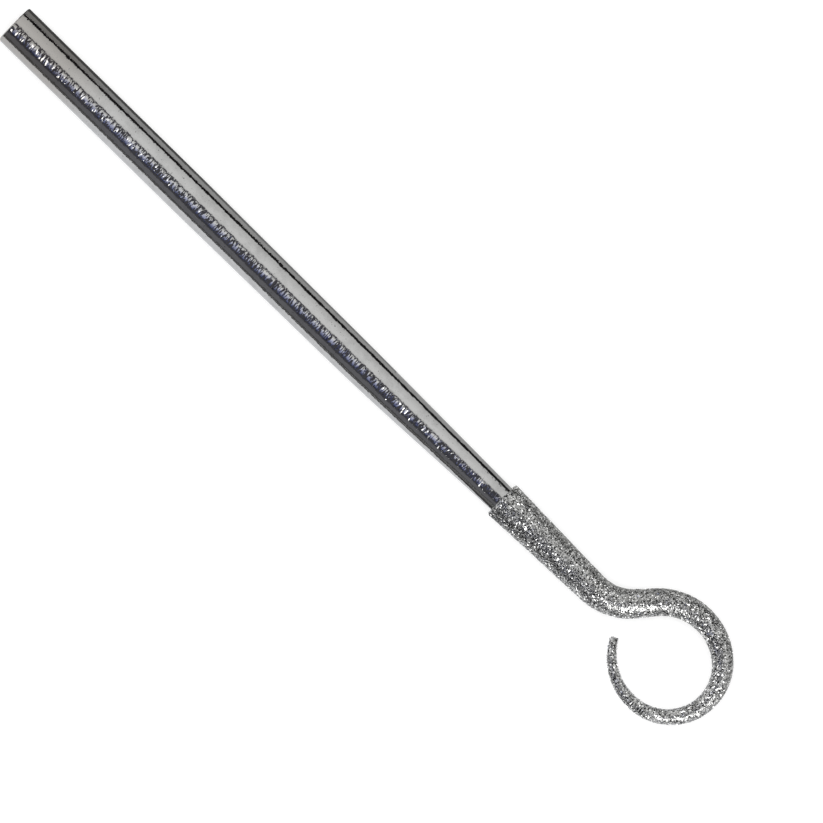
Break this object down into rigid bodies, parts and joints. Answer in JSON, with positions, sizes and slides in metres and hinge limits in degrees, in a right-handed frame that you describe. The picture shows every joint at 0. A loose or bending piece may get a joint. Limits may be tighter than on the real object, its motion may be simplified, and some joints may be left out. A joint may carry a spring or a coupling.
{
  "type": "riffler file",
  "caption": "Hook riffler: a round polished steel shank that bends into a tapering ring-shaped hook with a coarse abrasive coat all round.",
  "frame": {"origin": "centre of the square-cut end face of the shank", "axes": "+X along the shank's axis towards the hook, +Y towards the side that the hook first bends to, in the hook's plane, +Z square to the hook's plane"},
  "size_m": [0.1795, 0.0233, 0.008],
  "materials": {
    "polished_steel": "polished",
    "bond_metal": "rough as plated",
    "grit": "sharp crystals"
  },
  "bodies": {
    "root": {"steel_blank": "polished_steel", "bond_layer": "bond_metal", "abrasive_grit": "grit"}
  },
  "joints": []
}
